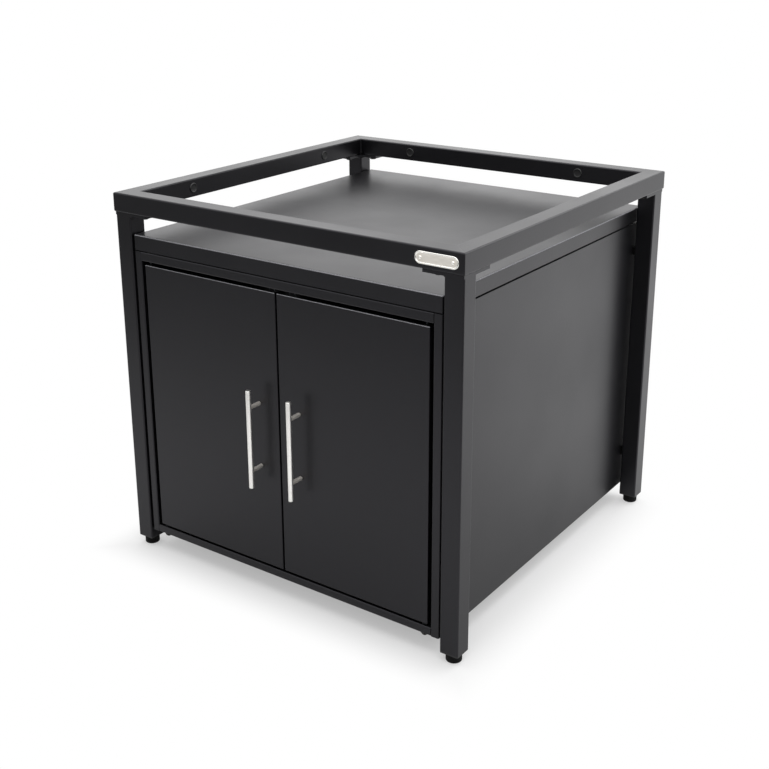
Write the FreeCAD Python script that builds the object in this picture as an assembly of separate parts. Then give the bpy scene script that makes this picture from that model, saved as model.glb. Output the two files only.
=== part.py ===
import FreeCAD, Part
import math
import os

from FreeCAD import Vector

# Open-topped grill module on a square steel tube frame with a two-door storage cabinet.
# Millimetres. Z is up, the doors face -Y, the floor is Z = 0 and X = 0 is the middle.

# Overall size of the top ring and the height of its top face above the floor
ring_width = 800.0
ring_depth = 800.0
overall_height = 760.0

# Square steel tube of the ring and the legs
tube = 38.0
tube_wall = 2.0
tube_round = 3.0
leg_inset = 2.0

# Round holes in the inner faces of the ring, each closed by a plastic plug
plug_hole_radius = 9.0
plug_from_corner = 182.0
plug_rim = 1.5
plug_rim_height = 1.8
plug_depth = 7.0

# L-shaped plate welded on each leg and bolted up into the ring
plate_length = 80.0
plate_thickness = 6.0
plate_gusset = 12.0
plate_bolt_from_corner = 60.0
weld_leg = 4.0
corner_bolt_radius = 4.0
corner_bolt_flats = 13.0
corner_bolt_head_height = 5.3
corner_bolt_reach = 10.0

# Levelling feet and the threaded inserts in the legs
leg_bottom = 18.0
insert_flange = 2.5
insert_depth = 24.0
insert_gap = 0.2
foot_radius = 15.0
foot_bevel = 1.5
foot_top_gap = 0.5
stem_radius = 5.0
stem_socket = 6.0
stem_above_insert = 18.0
stem_chamfer = 1.0

# Sheet steel of the cabinet and the tray
sheet = 1.5
bend = 1.0
cabinet_leg_gap = 4.0
front_setback = 5.0
rear_setback = 5.0
cabinet_bottom = 41.0
tray_drop = 41.0
tray_lip_front = 30.5
tray_lip_side = 29.0
tray_seam = 2.0
tray_round = 3.0

# Flanges that frame the doors, and the hidden flanges behind them
stile = 17.0
header = 18.5
bottom_rail = 16.0
stile_return = 20.0
header_return = 45.0
bottom_return = 30.0
weld_flange = 15.0
rear_flange = 20.0

# Hat-section bearers between the cabinet's top and the tray
bearer_from_middle = 200.0
bearer_width = 60.0
bearer_foot = 18.0
bearer_end_gap = 40.0

# Shelf and the angles that carry it
shelf_height = 340.0
shelf_lip = 20.0
shelf_side_gap = 1.0
shelf_front_gap = 25.0
shelf_rear_gap = 2.0
angle_leg = 20.0
angle_end_gap = 30.0

# Fixings between the cabinet and the legs
cabinet_bolt_inset = 28.0
cabinet_bolt_from_bottom = 80.0
cabinet_bolt_from_top = 60.0
cabinet_bolt_radius = 3.0
cabinet_bolt_flats = 10.0
cabinet_bolt_head_height = 4.0
cabinet_bolt_reach = 10.0
spacer_width = 16.0

# Doors
door_recess = 1.0
door_thickness = 18.0
door_gap_side = 8.0
door_gap_top = 7.5
door_gap_bottom = 4.5
door_gap_middle = 4.0
door_edge_round = 1.5
door_lip = 14.0
liner_gap = 0.2

# Door pivots
pivot_from_edge = 10.0
pin_radius = 3.0
pin_clearance = 0.05
pin_reach = 9.0
pin_collar_radius = 6.0
pin_collar_gap = 0.3
pin_thread_radius = 4.0
upper_head_radius = 6.0
upper_head_height = 4.0
dome_nut_flats = 13.0
dome_nut_hex_height = 3.5
dome_nut_height = 8.0
dome_nut_depth = 6.0
bush_radius = 4.5
bush_flange_radius = 7.0
bush_flange = 1.2
bush_length = 8.0

# Bar handles
handle_length = 198.0
handle_spacing = 128.0
handle_radius = 5.0
handle_round = 1.0
handle_stand_off = 30.0
handle_from_middle = 48.0
handle_below_centre = 7.0
post_radius = 4.0
post_thread_depth = 14.0
handle_screw_radius = 2.0
handle_screw_head_radius = 4.0
handle_screw_head_height = 2.4
handle_screw_reach = 12.0

# Magnetic catches under the header and their strike plates
catch_width = 36.0
catch_height = 16.0
catch_depth = 18.0
catch_from_middle = 6.0
catch_gap = 0.3
pole_thickness = 1.5
pole_height = 10.0
pole_spacing = 12.0
strike_thickness = 1.0
strike_width = 32.0
strike_height = 11.0

# Bare oval plate on the front rail
oval_length = 85.0
oval_height = 22.0
oval_thickness = 1.2
oval_rim = 1.6
oval_rim_height = 0.8
oval_from_corner = 10.5
oval_rivet_radius = 3.0
oval_rivet_height = 1.4
oval_rivet_shank = 1.5

# Small play between pieces that are fixed together
fit_gap = 0.1

# Width of a low head's top as a share of its base
head_taper = 0.65

# How far a cutting shape runs past the metal that it cuts
over = 1.0

# Slack when edges are picked by their place, and when two places count as one
edge_slack = 0.1
same_place = 1e-4

# Places worked out from the sizes above
ring_x = ring_width / 2
ring_y = ring_depth / 2
ring_bottom = overall_height - tube
leg_x = ring_x - leg_inset
leg_y = ring_y - leg_inset
leg_top = ring_bottom - plate_thickness
leg_centre_x = leg_x - tube / 2
leg_centre_y = leg_y - tube / 2
tube_end = leg_bottom + insert_flange
cabinet_x = leg_x - tube - cabinet_leg_gap
cabinet_inner_x = cabinet_x - sheet
front_y = -ring_y + front_setback
rear_y = ring_y - rear_setback
back_panel_y = rear_y - 2 * sheet
tray_top = ring_bottom - tray_drop
cabinet_top = tray_top - tray_lip_front - tray_seam
opening_x = cabinet_x - stile
opening_top = cabinet_top - header
opening_bottom = cabinet_bottom + bottom_rail
door_front = front_y + door_recess
door_back = door_front + door_thickness
door_outer_x = opening_x - door_gap_side
door_inner_x = door_gap_middle / 2
door_top = opening_top - door_gap_top
door_bottom = opening_bottom + door_gap_bottom
liner_back = door_back - sheet
liner_front = liner_back - sheet
pivot_x = door_outer_x - pivot_from_edge
pivot_y = (door_front + sheet + liner_front) / 2
handle_x = handle_from_middle
handle_y = door_front - handle_stand_off
handle_z = (door_top + door_bottom) / 2 - handle_below_centre
handle_front_y = handle_y - handle_radius
catch_front = door_back + strike_thickness + catch_gap
cabinet_bolt_y = leg_y - cabinet_bolt_inset
cabinet_bolt_heights = (cabinet_bottom + cabinet_bolt_from_bottom, cabinet_top - cabinet_bolt_from_top)

# The model is drawn about the ring's middle and moved so that its origin is under the
# middle of its whole box, which the handles make deeper at the front.
move_to_origin = Vector(0, -(ring_y + handle_front_y) / 2, 0)

X = Vector(1, 0, 0)
Y = Vector(0, 1, 0)
Z = Vector(0, 0, 1)


def block(x_from, x_to, y_from, y_to, z_from, z_to):
    """A box between two corners."""
    corner = Vector(min(x_from, x_to), min(y_from, y_to), min(z_from, z_to))
    return Part.makeBox(abs(x_to - x_from), abs(y_to - y_from), abs(z_to - z_from), corner)


def rod(radius, start, end):
    """A round rod from one point to another."""
    along = end - start
    return Part.makeCylinder(radius, along.Length, start, along)


def edges_along(shape, direction):
    """The straight edges of a shape that run in one direction."""
    found = []
    for edge in shape.Edges:
        step = edge.Vertexes[-1].Point - edge.Vertexes[0].Point
        if step.Length > same_place and step.cross(direction).Length < same_place:
            found.append(edge)
    return found


def rounded_block(x_from, x_to, y_from, y_to, z_from, z_to, direction, radius):
    """A box whose edges in one direction are rounded."""
    shape = block(x_from, x_to, y_from, y_to, z_from, z_to)
    return shape.makeFillet(radius, edges_along(shape, direction))


def mirrored(shape):
    """The same piece on the other side of X = 0."""
    return shape.mirror(Vector(0, 0, 0), X)


def both_sides(shape):
    return [shape, mirrored(shape)]


def four_corners(shape):
    """A piece drawn at +X +Y and its copies at the other three corners, by corner name."""
    turned_y = shape.mirror(Vector(0, 0, 0), Y)
    return {
        "front_left": mirrored(turned_y),
        "front_right": turned_y,
        "rear_left": mirrored(shape),
        "rear_right": shape,
    }


def sheet_outline(path, thickness):
    """The second face of a folded sheet: the path moved to its left by the thickness."""
    normals = []
    for (u0, v0), (u1, v1) in zip(path, path[1:]):
        length = math.hypot(u1 - u0, v1 - v0)
        normals.append((-(v1 - v0) / length, (u1 - u0) / length))
    moved = []
    for index, (u, v) in enumerate(path):
        before = normals[max(index - 1, 0)]
        after = normals[min(index, len(normals) - 1)]
        scale = thickness / (1 + before[0] * after[0] + before[1] * after[1])
        moved.append((u + (before[0] + after[0]) * scale, v + (before[1] + after[1]) * scale))
    return moved


def bent_sheet(path, direction, start, end):
    """A folded sheet: a path of its visible face, its metal on the left, drawn out between two
    places along X, Y or Z. Every fold turns towards the metal, with a rounded bend."""
    inside = sheet_outline(path, sheet)

    def place(point):
        u, v = point
        if direction == X:
            return Vector(start, u, v)
        if direction == Y:
            return Vector(u, start, v)
        return Vector(u, v, start)

    outline = [place(point) for point in path + inside[::-1]]
    face = Part.Face(Part.makePolygon(outline + outline[:1]))
    shape = face.extrude(direction * (end - start))
    for points, radius in ((path, bend + sheet), (inside, bend)):
        folds = [place(point) for point in points[1:-1]]
        edges = []
        for edge in edges_along(shape, direction):
            spot = edge.Vertexes[0].Point
            spot = spot - direction * (spot.dot(direction) - start)
            if any((spot - fold).Length < same_place for fold in folds):
                edges.append(edge)
        shape = shape.makeFillet(radius, edges)
    return shape


def hexagon(flats, height, at, up):
    """A hexagonal prism that stands on a point, square to a direction."""
    radius = flats / math.sqrt(3)
    across = Y if abs(up.x) > 0.5 else X
    other = up.cross(across)
    corners = []
    for step in range(7):
        angle = math.radians(60 * step)
        corners.append(at + across * (radius * math.cos(angle)) + other * (radius * math.sin(angle)))
    return Part.Face(Part.makePolygon(corners)).extrude(up * height)


def low_head(radius, height, at, up):
    """A low screw or rivet head, narrower at its top, that stands on a point."""
    return Part.makeCone(radius, radius * head_taper, height, at, up)


def far_circle(shape, up):
    """The circular edge of a cylinder that lies furthest along a direction."""
    return max(shape.Edges, key=lambda edge: edge.BoundBox.Center.dot(up))


def mitred_space(corners):
    """The space of one rail: a prism from corner to corner of the ring."""
    points = [Vector(x, y, ring_bottom - over) for x, y in corners + corners[:1]]
    return Part.Face(Part.makePolygon(points)).extrude(Z * (tube + 2 * over))


def ring_rail_along_x(side):
    """Front (-1) or rear (1) rail: a mitred square tube with two holes in its inner face."""
    outer_y = side * ring_y
    inner_y = side * (ring_y - tube)
    rail = rounded_block(-ring_x, ring_x, outer_y, inner_y, ring_bottom, overall_height, X, tube_round)
    hollow = block(
        -ring_x, ring_x, outer_y - side * tube_wall, inner_y + side * tube_wall,
        ring_bottom + tube_wall, overall_height - tube_wall)
    mitred = mitred_space(
        [(-ring_x, outer_y), (ring_x, outer_y), (ring_x - tube, inner_y), (tube - ring_x, inner_y)])
    rail = rail.cut(hollow).common(mitred)
    middle_z = ring_bottom + tube / 2
    for hole_x in (-(ring_x - plug_from_corner), ring_x - plug_from_corner):
        inside = Vector(hole_x, inner_y + side * 2 * tube_wall, middle_z)
        outside = Vector(hole_x, inner_y - side * over, middle_z)
        rail = rail.cut(rod(plug_hole_radius, inside, outside))
    return rail.cut(corner_bolt_holes())


def ring_rail_along_y(side):
    """Left (-1) or right (1) rail, made like the front and rear ones."""
    outer_x = side * ring_x
    inner_x = side * (ring_x - tube)
    rail = rounded_block(outer_x, inner_x, -ring_y, ring_y, ring_bottom, overall_height, Y, tube_round)
    hollow = block(
        outer_x - side * tube_wall, inner_x + side * tube_wall, -ring_y, ring_y,
        ring_bottom + tube_wall, overall_height - tube_wall)
    mitred = mitred_space(
        [(outer_x, -ring_y), (outer_x, ring_y), (inner_x, ring_y - tube), (inner_x, tube - ring_y)])
    rail = rail.cut(hollow).common(mitred)
    middle_z = ring_bottom + tube / 2
    for hole_y in (-(ring_y - plug_from_corner), ring_y - plug_from_corner):
        inside = Vector(inner_x + side * 2 * tube_wall, hole_y, middle_z)
        outside = Vector(inner_x - side * over, hole_y, middle_z)
        rail = rail.cut(rod(plug_hole_radius, inside, outside))
    return rail.cut(corner_bolt_holes())


def plug_places():
    """Centre of each plug hole on the ring's inner faces and the way it looks inwards."""
    middle_z = ring_bottom + tube / 2
    along_x = ring_x - plug_from_corner
    along_y = ring_y - plug_from_corner
    places = []
    for side in (-1, 1):
        for along in (-1, 1):
            places.append((Vector(along * along_x, side * (ring_y - tube), middle_z), Y * -side))
            places.append((Vector(side * (ring_x - tube), along * along_y, middle_z), X * -side))
    return places


def rail_hole_plugs():
    """Plastic caps: a low rim on the rail's face and a barrel in the hole."""
    plugs = []
    for centre, out in plug_places():
        rim = Part.makeCone(plug_hole_radius + plug_rim, plug_hole_radius, plug_rim_height, centre, out)
        barrel = rod(plug_hole_radius - fit_gap, centre, centre - out * plug_depth)
        plugs.append(rim.fuse(barrel).removeSplitter())
    return plugs


def corner_bolt_spots():
    """Places of the two bolts on the plate of the rear right leg."""
    along_x = Vector(leg_x - plate_bolt_from_corner, leg_centre_y, 0)
    along_y = Vector(leg_centre_x, leg_y - plate_bolt_from_corner, 0)
    return [along_x, along_y]


def corner_bolt_holes():
    """Threaded holes for all corner bolts in the ring's lower walls."""
    holes = []
    end = ring_bottom + 2 * tube_wall
    for spot in corner_bolt_spots():
        hole = rod(corner_bolt_radius + pin_clearance, spot + Z * leg_top, spot + Z * end)
        holes.extend(four_corners(hole).values())
    return Part.makeCompound(holes)


def corner_plate():
    """L-shaped plate on top of a leg, with a small gusset and a weld bead below it."""
    band = tube - leg_inset
    outline = [
        (leg_x, leg_y), (leg_x, leg_y - plate_length), (leg_x - band, leg_y - plate_length),
        (leg_x - band, leg_y - band - plate_gusset), (leg_x - band - plate_gusset, leg_y - band),
        (leg_x - plate_length, leg_y - band), (leg_x - plate_length, leg_y)]
    points = [Vector(x, y, leg_top) for x, y in outline + outline[:1]]
    plate = Part.Face(Part.makePolygon(points)).extrude(Z * plate_thickness)
    radius = corner_bolt_radius + fit_gap
    for spot in corner_bolt_spots():
        plate = plate.cut(rod(radius, spot + Z * (leg_top - over), spot + Z * (ring_bottom + over)))
    return plate.fuse([weld_bead(X), weld_bead(Y)]).removeSplitter()


def weld_bead(direction):
    """Bead in the corner between a leg's inner face and the plate above it."""
    start = Vector(leg_x - tube, leg_y - tube_round, leg_top)
    out = X * -weld_leg
    length = Y * (tube - 2 * tube_round)
    if direction == Y:
        start = Vector(leg_x - tube_round, leg_y - tube, leg_top)
        out = Y * -weld_leg
        length = X * (tube - 2 * tube_round)
    triangle = Part.makePolygon([start, start + out, start - Z * weld_leg, start])
    return Part.Face(triangle).extrude(length * -1)


def corner_bolts():
    """Hexagonal bolts, up through the plates and the ring's lower wall."""
    bolts = []
    for spot in corner_bolt_spots():
        head = hexagon(corner_bolt_flats, corner_bolt_head_height, spot + Z * leg_top, Z * -1)
        top = ring_bottom + corner_bolt_reach
        bolt = head.fuse(rod(corner_bolt_radius, spot + Z * leg_top, spot + Z * top))
        bolts.extend(four_corners(bolt.removeSplitter()).values())
    return bolts


def leg():
    """Rear right leg: a square tube with two threaded holes for the cabinet's bolts."""
    outer = rounded_block(leg_x - tube, leg_x, leg_y - tube, leg_y, tube_end, leg_top, Z, tube_round)
    inner = block(
        leg_x - tube + tube_wall, leg_x - tube_wall, leg_y - tube + tube_wall, leg_y - tube_wall,
        tube_end, leg_top)
    shape = outer.cut(inner)
    for height in cabinet_bolt_heights:
        centre = Vector(leg_x - tube, cabinet_bolt_y, height)
        inside = centre - X * over
        shape = shape.cut(rod(cabinet_bolt_radius + pin_clearance, inside, centre + X * 2 * tube_wall))
    return shape


def leg_insert():
    """Plastic insert with a square flange under the tube and a bore for the foot's stem."""
    flange = rounded_block(leg_x - tube, leg_x, leg_y - tube, leg_y, leg_bottom, tube_end, Z, tube_round)
    gap = tube_wall + insert_gap
    body = block(
        leg_x - tube + gap, leg_x - gap, leg_y - tube + gap, leg_y - gap,
        tube_end, leg_bottom + insert_depth)
    centre = Vector(leg_centre_x, leg_centre_y, 0)
    bore = rod(stem_radius + pin_clearance, centre, centre + Z * (leg_bottom + insert_depth + over))
    return flange.fuse(body).cut(bore).removeSplitter()


def levelling_pad():
    """Round foot with a bevelled lower edge and a socket for the stem."""
    centre = Vector(leg_centre_x, leg_centre_y, 0)
    top = leg_bottom - foot_top_gap
    pad = rod(foot_radius, centre, centre + Z * top)
    pad = pad.makeChamfer(foot_bevel, [far_circle(pad, Z * -1)])
    return pad.cut(rod(stem_radius + pin_clearance, centre + Z * stem_socket, centre + Z * (top + over)))


def levelling_stem():
    """Threaded stem that stands in the pad and runs up through the insert."""
    centre = Vector(leg_centre_x, leg_centre_y, 0)
    top = centre + Z * (leg_bottom + insert_depth + stem_above_insert)
    stem = rod(stem_radius, centre + Z * stem_socket, top)
    return stem.makeChamfer(stem_chamfer, [far_circle(stem, Z)])


def side_panel():
    """Right side: one sheet folded into the front stile with its return and a rear flange."""
    path = [
        (opening_x, front_y + stile_return), (opening_x, front_y), (cabinet_x, front_y),
        (cabinet_x, rear_y), (cabinet_x - rear_flange, rear_y)]
    panel = bent_sheet(path, Z, cabinet_bottom, cabinet_top)
    for height in cabinet_bolt_heights:
        for along in (-1, 1):
            centre = Vector(cabinet_x, along * cabinet_bolt_y, height)
            panel = panel.cut(rod(cabinet_bolt_radius + fit_gap, centre - X * 2 * sheet, centre + X * over))
    return panel


def wing_of(upper, lower):
    """Right-hand wing behind the stile, with its weld flange against the side panel."""
    path = [(opening_x - sheet, upper), (cabinet_inner_x, upper), (cabinet_inner_x, lower)]
    outline = path + sheet_outline(path[::-1], sheet)
    points = [Vector(x, front_y + stile_return + fit_gap, z) for x, z in outline + outline[:1]]
    depth = back_panel_y - front_y - stile_return - fit_gap
    return Part.Face(Part.makePolygon(points)).extrude(Y * depth)


def top_panel():
    """Cabinet roof, folded down and back under itself at the front to make the header."""
    path = [
        (back_panel_y, cabinet_top - weld_flange), (back_panel_y, cabinet_top), (front_y, cabinet_top),
        (front_y, opening_top), (front_y + header_return, opening_top)]
    middle = bent_sheet(path, X, -opening_x, opening_x)
    panel = middle.fuse(both_sides(wing_of(cabinet_top, cabinet_top - weld_flange))).removeSplitter()
    return panel.cut(Part.makeCompound(pivot_holes()))


def bottom_panel():
    """Cabinet floor, folded down and back at the front to make the lower rail."""
    path = [
        (back_panel_y, cabinet_bottom), (back_panel_y, opening_bottom), (front_y, opening_bottom),
        (front_y, cabinet_bottom), (front_y + bottom_return, cabinet_bottom)]
    middle = bent_sheet(path, X, -opening_x, opening_x)
    panel = middle.fuse(both_sides(wing_of(opening_bottom, cabinet_bottom))).removeSplitter()
    return panel.cut(Part.makeCompound(pivot_holes()))


def back_panel():
    """Flat sheet inside the rear flanges, clear of the bends beside it."""
    half = cabinet_inner_x - bend
    return block(-half, half, back_panel_y, back_panel_y + sheet, cabinet_bottom, cabinet_top)


def at_cabinet_fixings(shape):
    """Copies of a piece drawn at the rear right leg's lower fixing, at all eight fixings."""
    low, high = cabinet_bolt_heights
    upper = shape.copy()
    upper.translate(Z * (high - low))
    return list(four_corners(shape).values()) + list(four_corners(upper).values())


def fixing_point(from_leg):
    """A point on the rear right leg's lower fixing, this far from the leg's inner face."""
    return Vector(leg_x - tube - from_leg, cabinet_bolt_y, cabinet_bolt_heights[0])


def cabinet_spacers():
    """Square nylon pads that hold the cabinet off the legs."""
    half = spacer_width / 2
    leg_face = fixing_point(0)
    spacer = block(
        leg_face.x - cabinet_leg_gap, leg_face.x, leg_face.y - half, leg_face.y + half,
        leg_face.z - half, leg_face.z + half)
    bore = rod(cabinet_bolt_radius + fit_gap, fixing_point(-over), fixing_point(cabinet_leg_gap + over))
    return at_cabinet_fixings(spacer.cut(bore))


def cabinet_bolts():
    """Hexagonal bolts from inside the cabinet into the legs."""
    seat = fixing_point(cabinet_leg_gap + sheet)
    head = hexagon(cabinet_bolt_flats, cabinet_bolt_head_height, seat, X * -1)
    shank = rod(cabinet_bolt_radius, seat, fixing_point(-cabinet_bolt_reach))
    return at_cabinet_fixings(head.fuse(shank).removeSplitter())


def tray():
    """Tray with folded lips on all four sides; its front lip is a little deeper."""
    bottom = tray_top - tray_lip_front
    outer = block(-cabinet_x, cabinet_x, front_y, rear_y, bottom, tray_top)
    outer = outer.makeFillet(tray_round, edges_above(outer, bottom))
    inner = block(
        sheet - cabinet_x, cabinet_x - sheet, front_y + sheet, rear_y - sheet, bottom - over,
        tray_top - sheet)
    shallow = block(
        -cabinet_x - over, cabinet_x + over, front_y + tray_round, rear_y + over, bottom - over,
        tray_top - tray_lip_side)
    return outer.cut(inner).cut(shallow)


def tray_bearer():
    """Right-hand hat section, riveted on the cabinet's roof, that the tray lies on."""
    top = tray_top - sheet
    centre = bearer_from_middle
    half = bearer_width / 2
    web = half - bearer_foot
    path = [
        (centre + half, cabinet_top + sheet), (centre + web, cabinet_top + sheet), (centre + web, top),
        (centre - web, top), (centre - web, cabinet_top + sheet), (centre - half, cabinet_top + sheet)]
    inside = sheet_outline(path, sheet)
    outline = path + inside[::-1]
    points = [Vector(x, front_y + bearer_end_gap, z) for x, z in outline + outline[:1]]
    return Part.Face(Part.makePolygon(points)).extrude(Y * (rear_y - front_y - 2 * bearer_end_gap))


def shelf():
    """Loose shelf: a sheet folded down on all four sides."""
    half = cabinet_inner_x - shelf_side_gap
    y_from = front_y + header_return + shelf_front_gap
    y_to = back_panel_y - shelf_rear_gap
    bottom = shelf_height - shelf_lip
    outer = block(-half, half, y_from, y_to, bottom, shelf_height)
    outer = outer.makeFillet(bend + sheet, edges_above(outer, bottom))
    inner = block(
        sheet - half, half - sheet, y_from + sheet, y_to - sheet, bottom - over, shelf_height - sheet)
    return outer.cut(inner)


def edges_above(shape, height):
    """The edges of a box apart from those that lie at its lowest face."""
    return [edge for edge in shape.Edges if edge.BoundBox.ZMax > height + edge_slack]


def shelf_angle():
    """Right-hand angle, spot-welded to the side panel, that the shelf's lip stands on."""
    seat = shelf_height - shelf_lip
    path = [
        (cabinet_inner_x, seat - angle_leg), (cabinet_inner_x, seat), (cabinet_inner_x - angle_leg, seat)]
    y_from = front_y + header_return + angle_end_gap
    return bent_sheet(path, Y, back_panel_y - angle_end_gap, y_from)


def pivot_holes():
    """Holes for the lower pins in the floor and its return, and for the upper ones in the
    header's return."""
    centre = Vector(pivot_x, pivot_y, 0)
    holes = []
    for radius, z_from, z_to in (
            (pin_thread_radius + fit_gap, cabinet_bottom - over, cabinet_bottom + 2 * sheet),
            (pin_collar_radius + fit_gap, opening_bottom - 2 * sheet, opening_bottom + over),
            (pin_radius + fit_gap, opening_top - over, opening_top + 2 * sheet)):
        holes.extend(both_sides(rod(radius, centre + Z * z_from, centre + Z * z_to)))
    return holes


def lower_pivot_pins():
    """Stepped pins: a collar that stands in the lower rail and carries the door's bush, a
    thread below it and the pin above it."""
    centre = Vector(pivot_x, pivot_y, 0)
    seat = centre + Z * (cabinet_bottom + sheet)
    collar = rod(pin_collar_radius, seat, centre + Z * (door_bottom - bush_flange - pin_collar_gap))
    thread = rod(pin_thread_radius, centre + Z * (cabinet_bottom - dome_nut_depth), seat)
    pin = rod(pin_radius, seat, centre + Z * (door_bottom + pin_reach))
    return both_sides(collar.fuse([thread, pin]).removeSplitter())


def pivot_dome_nuts():
    """Closed nuts that hold the lower pins; they show below the cabinet."""
    seat = Vector(pivot_x, pivot_y, cabinet_bottom)
    hexagonal = hexagon(dome_nut_flats, dome_nut_hex_height, seat, Z * -1)
    dome = low_head(
        dome_nut_flats / 2, dome_nut_height - dome_nut_hex_height, seat - Z * dome_nut_hex_height, Z * -1)
    bore = rod(pin_thread_radius + pin_clearance, seat + Z * over, seat - Z * dome_nut_depth)
    return both_sides(hexagonal.fuse(dome).cut(bore).removeSplitter())


def upper_pivot_pins():
    """Pins dropped through the header's return into the doors."""
    centre = Vector(pivot_x, pivot_y, 0)
    seat = centre + Z * (opening_top + sheet)
    head = low_head(upper_head_radius, upper_head_height, seat, Z)
    shank = rod(pin_radius, centre + Z * (door_top - pin_reach), seat)
    return both_sides(head.fuse(shank).removeSplitter())


def door():
    """Left door: a deep pan with returned lips, holes for its bushes and its handle."""
    outer = block(-door_outer_x, -door_inner_x, door_front, door_back, door_bottom, door_top)
    face_edges = [edge for edge in outer.Edges if edge.BoundBox.YMax < door_front + edge_slack]
    outer = outer.makeFillet(door_edge_round, face_edges)
    inner = block(
        sheet - door_outer_x, -door_inner_x - sheet, door_front + sheet, liner_back,
        door_bottom + sheet, door_top - sheet)
    mouth = block(
        door_lip - door_outer_x, -door_inner_x - door_lip, liner_back - over, door_back + over,
        door_bottom + door_lip, door_top - door_lip)
    pan = outer.cut(inner).cut(mouth)
    centre = Vector(-pivot_x, pivot_y, 0)
    for z_from, z_to in (
            (door_bottom - over, door_bottom + 2 * sheet), (door_top - 2 * sheet, door_top + over)):
        pan = pan.cut(rod(bush_radius, centre + Z * z_from, centre + Z * z_to))
    return pan.cut(Part.makeCompound(handle_holes()))


def door_liner():
    """Inner skin of the left door, inside the lips."""
    return block(
        sheet + liner_gap - door_outer_x, -door_inner_x - sheet - liner_gap, liner_front, liner_back,
        door_bottom + sheet + liner_gap, door_top - sheet - liner_gap)


def door_bushes():
    """Flanged nylon bushes in the lower and upper edges of the left door."""
    bushes = []
    for edge, inward in ((door_bottom, Z), (door_top, Z * -1)):
        seat = Vector(-pivot_x, pivot_y, edge)
        flange = rod(bush_flange_radius, seat, seat - inward * bush_flange)
        barrel = rod(bush_radius, seat, seat + inward * bush_length)
        bore = rod(
            pin_radius + pin_clearance, seat - inward * (bush_flange + over),
            seat + inward * (bush_length + over))
        bushes.append(flange.fuse(barrel).cut(bore).removeSplitter())
    return bushes


def door_strike():
    """Steel strike plate on the lip of the left door, behind the catch."""
    middle = -(catch_from_middle + catch_width / 2)
    top = door_top - (door_lip - strike_height) / 2
    return block(
        middle - strike_width / 2, middle + strike_width / 2, door_back, door_back + strike_thickness,
        top - strike_height, top)


def handle_posts_z():
    return (handle_z - handle_spacing / 2, handle_z + handle_spacing / 2)


def handle_holes():
    """Holes for the handle screws in the left door's outer skin."""
    holes = []
    for height in handle_posts_z():
        face = Vector(-handle_x, door_front, height)
        holes.append(rod(handle_screw_radius + fit_gap, face - Y * over, face + Y * 2 * sheet))
    return holes


def handle_bar():
    """Round stainless bar of the left handle."""
    half = Z * (handle_length / 2)
    centre = Vector(-handle_x, handle_y, handle_z)
    bar = rod(handle_radius, centre - half, centre + half)
    return bar.makeChamfer(handle_round, [far_circle(bar, Z), far_circle(bar, Z * -1)])


def handle_posts():
    """Two posts, saddled to the bar, each with a threaded hole from the door's side."""
    posts = []
    for height in handle_posts_z():
        foot = Vector(-handle_x, door_front, height)
        post = rod(post_radius, foot, Vector(-handle_x, handle_y, height))
        thread = rod(handle_screw_radius + pin_clearance, foot + Y * over, foot - Y * post_thread_depth)
        posts.append(post.cut(thread).cut(handle_bar()))
    return posts


def handle_screws():
    """Screws from inside the left door, through its outer skin, into the posts."""
    screws = []
    for height in handle_posts_z():
        seat = Vector(-handle_x, door_front + sheet, height)
        head = low_head(handle_screw_head_radius, handle_screw_head_height, seat, Y)
        shank = rod(handle_screw_radius, seat, Vector(-handle_x, door_front - handle_screw_reach, height))
        screws.append(head.fuse(shank).removeSplitter())
    return screws


def catch_housing():
    """Left catch: a plastic block under the header's return, with slots for its poles."""
    body = block(
        -(catch_from_middle + catch_width), -catch_from_middle, catch_front, catch_front + catch_depth,
        opening_top - catch_height, opening_top)
    for pole in pole_blocks():
        body = body.cut(pole)
    return body


def pole_blocks():
    """Steel poles of the left catch, level with its front."""
    middle = -(catch_from_middle + catch_width / 2)
    bottom = opening_top - catch_height + (catch_height - pole_height) / 2
    poles = []
    for side in (-1, 1):
        centre = middle + side * pole_spacing / 2
        poles.append(block(
            centre - pole_thickness / 2, centre + pole_thickness / 2, catch_front,
            catch_front + catch_depth - 2 * sheet, bottom, bottom + pole_height))
    return poles


def stadium(length, height, thickness, centre):
    """A flat plate with half-round ends that stands out from a point towards -Y."""
    half = length / 2 - height / 2
    plate = block(
        centre.x - half, centre.x + half, centre.y - thickness, centre.y,
        centre.z - height / 2, centre.z + height / 2)
    ends = []
    for side in (-1, 1):
        middle = centre + X * (side * half)
        ends.append(rod(height / 2, middle, middle - Y * thickness))
    return plate.fuse(ends).removeSplitter()


def oval_centre():
    return Vector(ring_x - oval_from_corner - oval_length / 2, -ring_y, ring_bottom + tube / 2)


def oval_rivet_spots():
    reach = (oval_length - oval_height) / 2
    return [oval_centre() + X * (side * reach) for side in (-1, 1)]


def oval_plate():
    """Bare stainless plate with a raised rim."""
    centre = oval_centre()
    full = stadium(oval_length, oval_height, oval_thickness + oval_rim_height, centre)
    dish = stadium(
        oval_length - 2 * oval_rim, oval_height - 2 * oval_rim, oval_rim_height, centre - Y * oval_thickness)
    plate = full.cut(dish)
    for spot in oval_rivet_spots():
        behind = spot + Y * over
        plate = plate.cut(rod(oval_rivet_shank + fit_gap, behind, spot - Y * (oval_thickness + over)))
    return plate


def oval_plate_rivets():
    """Rivets through the plate into the front rail."""
    rivets = []
    for spot in oval_rivet_spots():
        face = spot - Y * oval_thickness
        head = low_head(oval_rivet_radius, oval_rivet_height, face, Y * -1)
        shank = rod(oval_rivet_shank, face, spot + Y * 2 * tube_wall)
        rivets.append(head.fuse(shank).removeSplitter())
    return rivets


def oval_rivet_holes():
    holes = []
    for spot in oval_rivet_spots():
        holes.append(rod(oval_rivet_shank + fit_gap, spot - Y * over, spot + Y * 2 * tube_wall))
    return Part.makeCompound(holes)


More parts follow.
